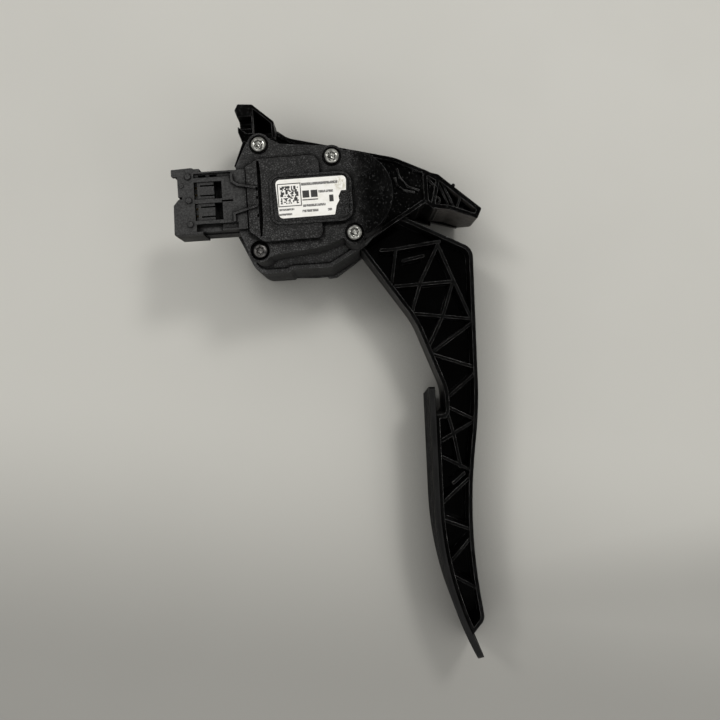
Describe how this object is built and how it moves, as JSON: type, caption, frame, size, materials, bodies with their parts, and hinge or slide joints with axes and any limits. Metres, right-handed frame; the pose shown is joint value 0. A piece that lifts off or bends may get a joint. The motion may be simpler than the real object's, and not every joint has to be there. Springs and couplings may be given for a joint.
{
  "type": "accelerator pedal",
  "caption": "Electronic accelerator pedal module lying on its side: ribbed arm with foot plate on a sprung pivot, housing with stop lug, sensor cover and plug socket.",
  "frame": {"origin": "on the pivot axis, in the plane of the housing's far side, which lies on the bench", "axes": "+Z along the pivot axis towards the sensor cover, +X from the plug socket to the stop lug, -Y towards the tip of the foot plate"},
  "size_m": [0.1407, 0.2696, 0.0584],
  "materials": {
    "housing_plastic": "glass filled black plastic, semi gloss",
    "arm_plastic": "glass filled black plastic, glossy",
    "cover_plastic": "fine grained dark grey plastic",
    "foot_plate_plastic": "matte black plastic",
    "zinc_steel": "bright zinc plated",
    "label_paper": "smooth white sticker, torn at one end",
    "board_green": "green solder mask",
    "chip_black": "moulded chip packages",
    "terminal_brass": "plated terminals",
    "rotor_plastic": "moulded plastic",
    "magnet_grey": "sintered magnet, dull grey",
    "pin_steel": "ground steel",
    "bush_bronze": "sintered bronze",
    "shoe_plastic": "natural acetal",
    "rubber_seal": "soft black rubber",
    "spring_steel": "oiled spring wire"
  },
  "bodies": {
    "housing": {"housing": "housing_plastic", "housing_lid": "housing_plastic", "sensor_cover": "cover_plastic", "cover_gasket": "rubber_seal", "cover_screw_1": "zinc_steel", "cover_screw_2": "zinc_steel", "cover_screw_3": "zinc_steel", "cover_screw_4": "zinc_steel", "label": "label_paper", "circuit_board": "board_green", "sensor_chips": "chip_black", "connector_terminals": "terminal_brass", "near_bush": "bush_bronze", "far_bush": "bush_bronze", "idle_bumper": "rubber_seal", "spring_seat": "rotor_plastic", "outer_return_spring": "spring_steel", "inner_return_spring": "spring_steel"},
    "pedal": {"pedal_arm": "arm_plastic", "foot_plate": "foot_plate_plastic", "friction_shoe": "shoe_plastic", "pivot_pin": "pin_steel", "sensor_rotor": "rotor_plastic", "rotor_magnets": "magnet_grey"}
  },
  "joints": [
    {"name": "pedal_pivot", "type": "hinge", "parent": "housing", "child": "pedal", "pos_m": [0, 0, 0.018], "axis": [0, 0, 1], "range_deg": [0, 12], "stiffness_Nm_per_rad": 8, "springref_deg": -28.65, "deforming": ["outer_return_spring", "inner_return_spring"]}
  ]
}
